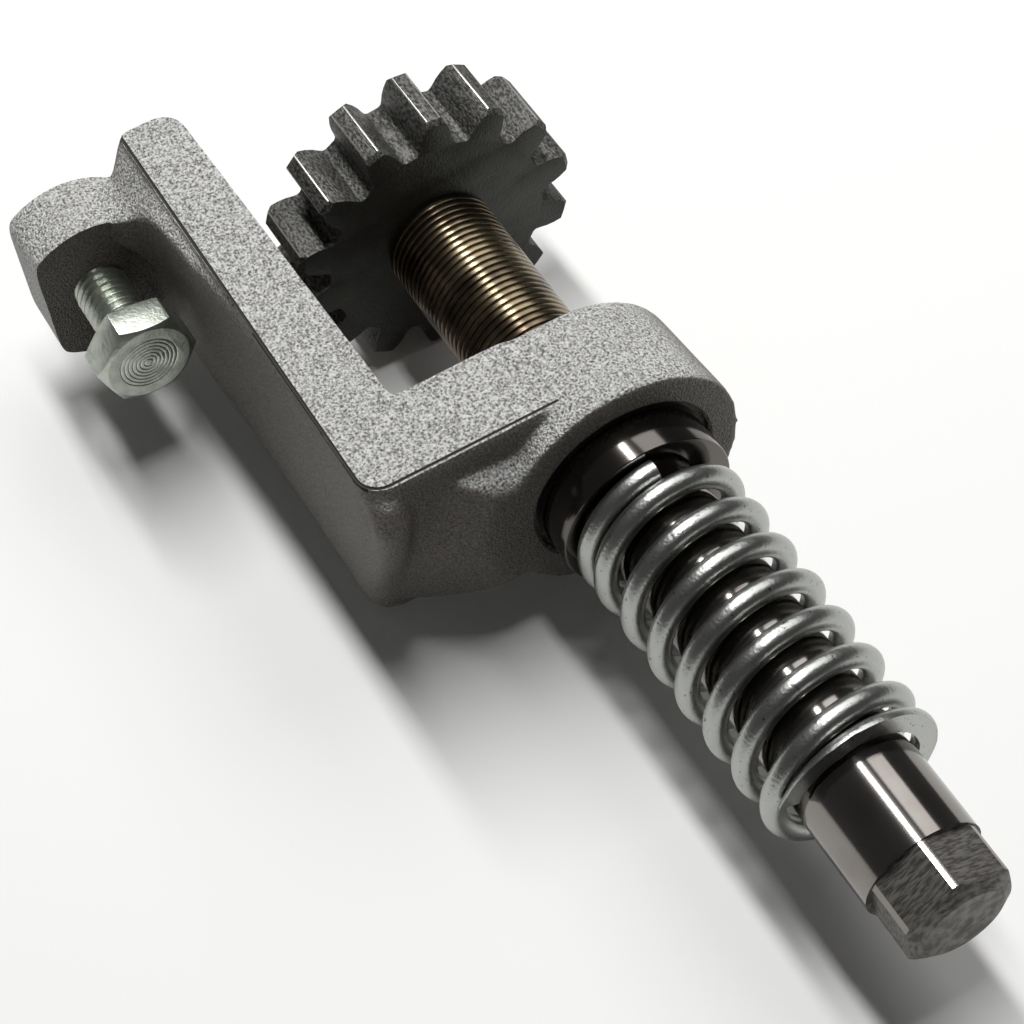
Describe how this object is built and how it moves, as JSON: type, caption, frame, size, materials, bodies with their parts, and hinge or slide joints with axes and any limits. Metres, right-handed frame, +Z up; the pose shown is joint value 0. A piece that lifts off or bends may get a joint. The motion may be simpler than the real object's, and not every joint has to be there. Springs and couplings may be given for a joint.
{
  "type": "caliper adjusting gear",
  "caption": "Forged L-shaped bracket with a bolt boss and a ring that carries a geared adjuster shaft with a wrap spring, a compression spring and a hexagon end.",
  "frame": {"origin": "centre of the boss's seat face, on the axis of the fixing bolt", "axes": "+X along the shaft towards the hexagon end, +Y from the bolt to the shaft, +Z up, square to the bracket's flat face"},
  "size_m": [0.1598, 0.0757, 0.044],
  "materials": {
    "forged_steel": "shot-blasted forging, matt and speckled",
    "gear_steel": "hardened and oiled, dark, with worn tips",
    "oiled_spring_steel": "oiled spring steel with a straw tint",
    "ground_steel": "turned and ground, bright",
    "bright_spring_steel": "bright drawn wire",
    "zinc_plated_steel": "zinc plated, faintly green",
    "bronze": "plain bearing bronze"
  },
  "bodies": {
    "bracket": {"bracket": "forged_steel", "ring_bush": "bronze", "collar_thrust_washer": "bronze"},
    "shaft": {"adjuster_shaft": "ground_steel", "clutch_collar": "ground_steel", "collar_key": "ground_steel", "collar_retaining_ring": "oiled_spring_steel", "gear_retaining_ring": "oiled_spring_steel", "gear_thrust_washer": "bronze"},
    "gear": {"drive_gear": "gear_steel", "gear_bush": "bronze", "wrap_spring": "oiled_spring_steel"},
    "spring": {"compression_spring": "bright_spring_steel"},
    "bolt": {"fixing_bolt": "zinc_plated_steel"}
  },
  "joints": [
    {"name": "shaft_turn", "type": "hinge", "parent": "bracket", "child": "shaft", "pos_m": [0.07, 0.0446, 0], "axis": [1, 0, 0], "continuous": true},
    {"name": "gear_overrun", "type": "hinge", "parent": "shaft", "child": "gear", "pos_m": [0.02, 0.0446, 0], "axis": [1, 0, 0], "continuous": true},
    {"name": "spring_squeeze", "type": "slide", "parent": "shaft", "child": "spring", "axis": [1, 0, 0], "range_m": [-0.018, 0], "stiffness_N_per_m": 18600, "deforming": ["compression_spring"]},
    {"name": "bolt_travel", "type": "slide", "parent": "bracket", "child": "bolt", "axis": [1, 0, 0], "range_m": [-0.0109, 0.0042]}
  ]
}
